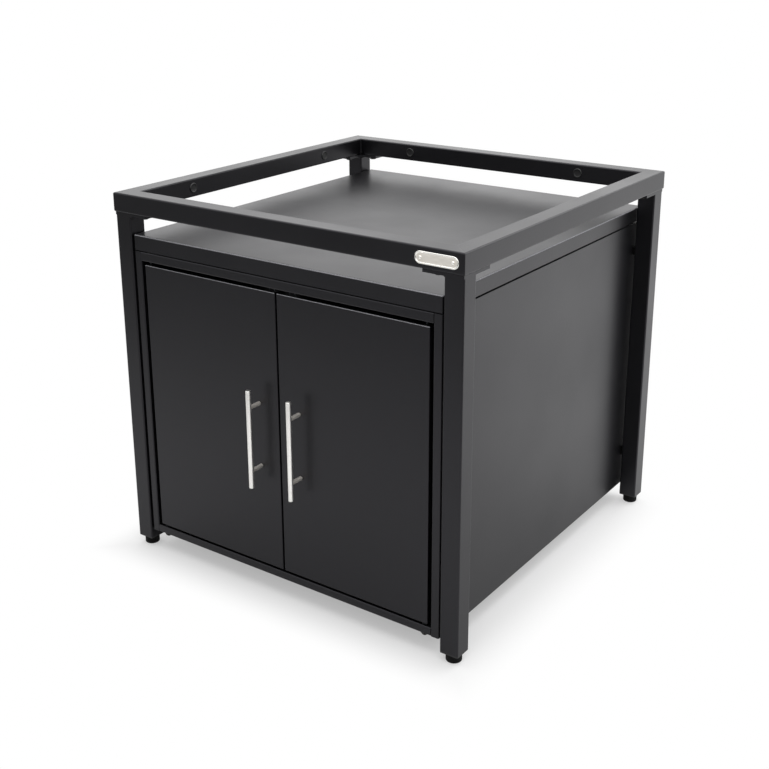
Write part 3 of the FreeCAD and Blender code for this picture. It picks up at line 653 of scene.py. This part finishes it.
# Both pins' heights are above the floor that the cart stands on.
lower_pin_rings = [
    (0, 70.5), (pin_radius - pin_chamfer, 70.5), (pin_radius, 70.5 - pin_chamfer),
    (pin_radius, 60), (5.6, 60), (collar_radius, 59.6), (collar_radius, 42.9), (5.6, 42.5),
    (shank_radius, 42.5), (shank_radius, 35 + pin_chamfer), (shank_radius - pin_chamfer, 35),
    (0, 35)]
upper_pin_rings = [
    (0, 635.5), *rounded(collar_radius, 632.7, 2.8, range(75, -1, -15)), (collar_radius, 631.5),
    (pin_radius, 631.5), (pin_radius, 613.5 + pin_chamfer), (pin_radius - pin_chamfer, 613.5),
    (0, 613.5)]
dome_nut_rings = [
    (0, 6), (nut_bore, 6), (nut_bore, 0), (6.1, 0), (hexagon(nut_flats), 0.4),
    (hexagon(nut_flats), chamfered(nut_flats, 6, nut_hexagon)), (6, nut_hexagon),
    *rounded(5.9, 3.9, 4.1, range(0, 90, 15)), (0, 8)]

# Zinc plate with a black passivation. It gives a near-black metal with a faint blue sheen.
black_zinc = plated_steel(
    "black passivated zinc", "#1b1c1e", "#2b2c2e", 3 * mm, smooth=0.34, dull=0.46)
on_floor = [((side * pivot_x, pivot_y, 0), (0, 0, 1)) for side in (-1, 1)]
lower_pins = set_out("lower_pins", turned("lower_pin", lower_pin_rings), black_zinc, on_floor)
fit(lower_pins, "frame", "zinc_steel", "lower_pivot_pins")
upper_pins = set_out("upper_pins", turned("upper_pin", upper_pin_rings), black_zinc, on_floor)
fit(upper_pins, "frame", "zinc_steel", "upper_pivot_pins")
under_cabinet = [((side * pivot_x, pivot_y, nut_seat), (0, 0, -1)) for side in (-1, 1)]
dome_nuts = set_out(
    "dome_nuts", turned("dome_nut", dome_nut_rings), black_oxide, under_cabinet,
    most_turn=math.tau, seed=2)
fit(dome_nuts, "frame", "black_steel", "pivot_dome_nuts")


# Doors. Each is a deep pan folded from steel sheet with a liner inside its lips, and moulded nylon
# bushes pressed into its lower and upper edges.
bush_bore = 3.05
bush_flange = 7
bush_barrel = 4.5
bush_rings = [
    (bush_bore, 0.9), (3.35, 1.2), (6.7, 1.2), (bush_flange, 0.9), (bush_flange, 0),
    (bush_barrel, 0), (bush_barrel, -7.6), (4.1, -8), (bush_bore, -8)]
bush = turned("bush", bush_rings, closed=True)
for side, sign in (("left", -1), ("right", 1)):
    door = "door_" + side
    # The door's coat carries the painted highlight along its upward bends.
    finish_nodes(highlighted_coat, door)
    finish_nodes(steelwork_coat, door + "_liner")
    low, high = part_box(door)
    places = [
        ((sign * pivot_x, pivot_y, low.z), (0, 0, -1)),
        ((sign * pivot_x, pivot_y, high.z), (0, 0, 1))]
    bushes = set_out("bushes_" + side, bush, black_nylon, places)
    fit(bushes, side + "_door", "nylon", door + "_bushes")


# Handles. A solid stainless bar on two stainless posts, saddled to it, with screws from inside the
# door. The bar is turned and then brushed round with a belt; the posts are left as turned.
bar_radius = 5.0
bar_edge = 1.2
bar_edge_angles = (0, 22.5, 45, 67.5, 90)
post_radius = 4.0
post_chamfer = 0.3
post_stand_off = 30.0
post_hole = 2.05
post_hole_depth = 14.0
post_spacing = 128 * mm


def edge_arc(base, way):
    """Rings of a bar's rounded edge at one end, from its end face towards its side or back."""
    arc = []
    for a in bar_edge_angles:
        across = math.sin(math.radians(a))
        along = 1 - math.cos(math.radians(a))
        arc.append((bar_radius - bar_edge + bar_edge * across, base + way * bar_edge * along))
    return arc if way > 0 else arc[::-1]


def saddle(radius):
    """The height, by the angle, at which a post of this radius meets the round bar."""
    return lambda angle: (
        post_stand_off - math.sqrt(bar_radius ** 2 - (radius * math.cos(angle)) ** 2))


post_rings = [
    (0, post_hole_depth), (post_hole, post_hole_depth), (post_hole, 0),
    (post_radius - post_chamfer, 0), (post_radius, post_chamfer),
    (post_radius, saddle(post_radius)), (post_radius / 2, saddle(post_radius / 2)),
    (0, post_stand_off - bar_radius)]

# Stainless steel with a worked surface. It is a bright silvery metal, a little warm, whose lines
# stretch each reflection across them. They are about 0.1 mm apart, drawn wider so that they show.
line_pitch = 0.5 * mm
line_depth = 0.01 * mm


def worked_steel(name, dark, light, stretch, smooth, dull):
    """A stainless steel between two colours, whose lines are this close along X, Y and Z."""
    metal, tree, shader = start_material(name, Metallic=1.0)
    where = add(tree, "ShaderNodeTexCoord").outputs["Object"]
    drawn_out = add(tree, "ShaderNodeMapping", {"Vector": where, "Scale": stretch})
    worked = add(tree, "ShaderNodeTexNoise", {
        "Vector": drawn_out.outputs[0], "Scale": 1.0, "Detail": 3.0})
    surface(
        tree, shader, worked.outputs["Fac"], dark, light, smooth, dull,
        worked.outputs["Fac"], line_depth)
    return metal


# Brushed round the bar with a belt. It stays bright from end to end, with faint rings.
bar_steel = worked_steel(
    "stainless steel brushed round", "#f0eee9", "#fdfcf9", (40, 40, 1 / line_pitch),
    smooth=0.3, dull=0.42)
# Turned and left so. The tool's rings scatter the light, and take on the dark of the doors.
post_steel = worked_steel(
    "stainless steel turned", "#cfcac3", "#ebe7e1", (300, 1 / line_pitch, 300),
    smooth=0.5, dull=0.62)
post = turned("post", post_rings)
finish_nodes(bright_zinc, "handle_left_screws", "handle_right_screws")
for side in ("left", "right"):
    low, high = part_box("handle_" + side + "_bar")
    middle = (low + high) / 2
    length = (high.z - low.z) / mm
    bar_mesh = turned("bar_" + side, [(0, 0), *edge_arc(0, 1), *edge_arc(length, -1), (0, length)])
    bar_mesh.transform(Matrix.Translation((middle.x, middle.y, low.z)))
    bar_mesh.materials.append(bar_steel)
    bar = bpy.data.objects.new("bar_" + side, bar_mesh)
    bpy.context.scene.collection.objects.link(bar)
    fit(bar, side + "_door", "stainless_steel", "handle_" + side + "_bar")
    door_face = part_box("door_" + side)[0].y
    places = [
        ((middle.x, door_face, middle.z + half * post_spacing / 2), (0, -1, 0)) for half in (-1, 1)]
    posts = set_out("posts_" + side, post, post_steel, places)
    fit(posts, side + "_door", "stainless_steel", "handle_" + side + "_posts")


# Magnetic catches. A moulded ABS block under the header holds two steel poles with a magnet between
# them, and a zinc plated strike on each door meets the poles.

# ABS, injection moulded. It gives a black with a slight shine.
abs_plastic = moulded_plastic(
    "moulded black ABS", "#0e0e0f", "#151516", 1.0 * mm, dull=0.36, IOR=1.54)
finish_nodes(abs_plastic, "catch_housings")
finish_nodes(bright_zinc, "catch_poles", "door_left_strike", "door_right_strike")


# Oval plate. A bare stainless nameplate, pressed with a raised rim. Its face is brushed lengthwise
# and its rim polished. Two drive rivets with dished heads hold it to the front rail.
low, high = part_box("oval_plate")
plate_middle = (low + high) / 2
plate_back_y = high.y
plate_length = (high.x - low.x) / mm
plate_height = (high.z - low.z) / mm
plate_face = 1.2
plate_rim = 2.0
rivet_from_middle = 31.5 * mm
plate_rings = [
    (0.15, 0), (0, 0.2), (0, 1.3), (0.2, 1.62), (0.7, 1.9), (1.3, plate_rim), (1.9, 1.92), (2.4, 1.68),
    (2.7, 1.45), (2.9, 1.28), (3.3, plate_face)]


def stadium(inset, height, steps=20):
    """A row of points round a long plate with half-round ends, this far inside its outline."""
    radius = plate_height / 2 - inset
    reach = (plate_length - plate_height) / 2
    row = []
    for end in (1, -1):
        for step in range(steps + 1):
            angle = math.pi * (step / steps - 0.5)
            x = reach + radius * math.cos(angle)
            row.append((end * x, end * radius * math.sin(angle), height))
    return row


# Brushed lengthwise. Long fine lines make the face a pale, even grey.
plate_steel = worked_steel(
    "stainless steel brushed lengthwise", "#e2ddd4", "#f8f4ed",
    (1 / (14 * mm), 1000, 1 / (0.7 * mm)), smooth=0.4, dull=0.55)
# Polished on a wheel. It gives a clear bright outline with hardly any lines.
polished = worked_steel(
    "polished stainless steel", "#f2f0ea", "#fdfcf8", (200, 200, 200), smooth=0.12, dull=0.2)
plate_mesh = skinned("nameplate", [stadium(inset, height) for inset, height in plate_rings])
plate_mesh.materials.append(plate_steel)
plate_mesh.materials.append(polished)
for face in plate_mesh.polygons:
    in_rim = len(face.vertices) == 4
    face.material_index = 1 if in_rim else 0
plate_mesh.transform(Matrix.Rotation(math.pi / 2, 4, "X"))
plate_mesh.transform(Matrix.Translation((plate_middle.x, plate_back_y, plate_middle.z)))
nameplate = bpy.data.objects.new("nameplate", plate_mesh)
bpy.context.scene.collection.objects.link(nameplate)
fit(nameplate, "frame", "stainless_steel", "oval_plate")

drive_rivet_rings = [
    (0, 0.8), (1.1, 0.85), (1.6, 1.1), (2, 1.35), (2.3, 1.4), (2.6, 1.25), (2.9, 0.7), (3, 0), (1.5, 0),
    (1.5, -5), (0, -5)]
rivet_seat = plate_back_y - plate_face * mm
places = [
    ((plate_middle.x + side * rivet_from_middle, rivet_seat, plate_middle.z), (0, -1, 0))
    for side in (-1, 1)]
drive_rivet = turned("drive_rivet", drive_rivet_rings, segments=32)
plate_rivets = set_out("plate_rivets", drive_rivet, polished, places)
fit(plate_rivets, "frame", "stainless_steel", "oval_plate_rivets")


# Studio. A white paper floor in a white surround, with soft lamps overhead, behind and to the right.
# Two more brighten the floor in front and at the right rear, where the doors and the right side
# mirror it.
floor_reach = 14
floor_drop = 0.3 * mm
shadow_from, shadow_to = 0.36, 0.48
paper_seen, paper_mirrored = 1.0, 1.8
surround_seen, surround_light = 1.0, 0.35

paper = bmesh.new()
bmesh.ops.create_grid(paper, x_segments=8, y_segments=8, size=floor_reach)
floor_mesh = bpy.data.meshes.new("floor")
paper.to_mesh(floor_mesh)
paper.free()
floor_mesh.transform(Matrix.Translation((0, 0, -floor_drop)))
floor = bpy.data.objects.new("floor", floor_mesh)
bpy.context.scene.collection.objects.link(floor)

# Matt white paper, lit by the lamps. Seen by the camera it turns an even white away from the object,
# and keeps the soft shadow between and round the feet. Mirrored in the coat it glows a little, a
# painted pool of light most at 0.5 to 1 m from the middle, and its colour is painted darker with
# distance, a painted shade for light falling off as in a large room.
white_paper = bpy.data.materials.new("white studio paper")
white_paper.use_nodes = True
tree = white_paper.node_tree
tree.nodes.clear()
rays = add(tree, "ShaderNodeLightPath")
spot = add(tree, "ShaderNodeTexCoord").outputs["Object"]
sides = add(tree, "ShaderNodeVectorMath", {0: spot}, operation="ABSOLUTE")
offsets = add(tree, "ShaderNodeSeparateXYZ", {0: sides.outputs[0]})
offset = add(tree, "ShaderNodeMath", {
    0: offsets.outputs["X"], 1: offsets.outputs["Y"]}, operation="MAXIMUM")
cleared = add(tree, "ShaderNodeMapRange", {
    "Value": offset.outputs[0], "From Min": shadow_from, "From Max": shadow_to,
    "To Min": 0.4, "To Max": 1.0}, interpolation_type="SMOOTHSTEP")
mirrored = add(tree, "ShaderNodeMath", {
    0: rays.outputs["Is Glossy Ray"], 1: rays.outputs["Is Transmission Ray"]},
    operation="MAXIMUM")
away = add(tree, "ShaderNodeVectorMath", {0: spot}, operation="LENGTH")
near_glow = add(tree, "ShaderNodeMapRange", {
    "Value": away.outputs["Value"], "From Min": 0.45, "From Max": 0.9,
    "To Min": 0.03, "To Max": 0.22})
far_glow = add(tree, "ShaderNodeMapRange", {
    "Value": away.outputs["Value"], "From Min": 0.5, "From Max": 2.6,
    "To Min": near_glow.outputs["Result"], "To Max": 0.0})
mirrored_share = add(tree, "ShaderNodeMath", {
    0: mirrored.outputs[0], 1: far_glow.outputs[0]}, operation="MULTIPLY")
share = add(tree, "ShaderNodeMath", {
    0: rays.outputs["Is Camera Ray"], 1: cleared.outputs[0], 2: mirrored_share.outputs[0]},
    operation="MULTIPLY_ADD")
painted_distance_shade = add(tree, "ShaderNodeMapRange", {
    "Value": away.outputs["Value"], "From Min": 1.2, "From Max": 3.6,
    "To Min": 0.86, "To Max": 0.5})
matt = add(tree, "ShaderNodeBsdfDiffuse", {"Color": painted_distance_shade.outputs["Result"]})
strength = add(tree, "ShaderNodeMapRange", {
    "Value": rays.outputs["Is Camera Ray"], "To Min": paper_mirrored, "To Max": paper_seen})
glow = add(tree, "ShaderNodeEmission", {
    "Color": (1, 1, 1, 1), "Strength": strength.outputs["Result"]})
paper_mix = add(tree, "ShaderNodeMixShader", {
    0: share.outputs[0], 1: matt.outputs[0], 2: glow.outputs[0]})
add(tree, "ShaderNodeOutputMaterial", {"Surface": paper_mix.outputs[0]})
floor_mesh.materials.append(white_paper)

world = bpy.data.worlds.new("studio")
bpy.context.scene.world = world
world.use_nodes = True
tree = world.node_tree
tree.nodes.clear()
rays = add(tree, "ShaderNodeLightPath")
seen_or_mirrored = add(tree, "ShaderNodeMath", {
    0: rays.outputs["Is Camera Ray"], 1: rays.outputs["Is Glossy Ray"]}, operation="MAXIMUM")
visible = add(tree, "ShaderNodeMath", {
    0: seen_or_mirrored.outputs[0], 1: rays.outputs["Is Transmission Ray"]}, operation="MAXIMUM")
strength = add(tree, "ShaderNodeMapRange", {
    "Value": visible.outputs[0], "To Min": surround_light, "To Max": surround_seen})
surround = add(tree, "ShaderNodeBackground", {
    "Color": (1, 1, 1, 1), "Strength": strength.outputs["Result"]})
add(tree, "ShaderNodeOutputWorld", {"Surface": surround.outputs[0]})


def softbox(name, place, target, size, radiance):
    """A soft rectangular lamp that faces a point. The camera doesn't see it."""
    lamp = bpy.data.objects.new(name, bpy.data.lights.new(name, "AREA"))
    lamp.data.shape = "RECTANGLE"
    lamp.data.size, lamp.data.size_y = size
    lamp.data.energy = radiance * math.pi * size[0] * size[1]
    lamp.location = place
    lamp.rotation_euler = (Vector(place) - Vector(target)).to_track_quat("Z", "Y").to_euler()
    lamp.visible_camera = False
    bpy.context.scene.collection.objects.link(lamp)


softbox("overhead softbox", (-0.2, -0.1, 2.4), (-0.2, -0.1, 0.0), (3.2, 3.2), 1.5)
softbox("rear softbox", (-1.4, 2.1, 1.25), (0.0, 0.0, 0.75), (3.6, 1.2), 0.6)
softbox("right softbox", (1.3, 1.3, 0.4), (0.3, 0.0, 0.4), (2.2, 0.9), 1.0)
softbox("floor softbox", (1.05, 0.85, 1.2), (1.05, 0.85, 0.0), (1.2, 1.2), 2.4)
softbox("front softbox", (0.85, -1.15, 1.2), (0.85, -1.15, 0.0), (1.0, 1.0), 1.6)

bpy.context.scene.view_settings.view_transform = "Standard"
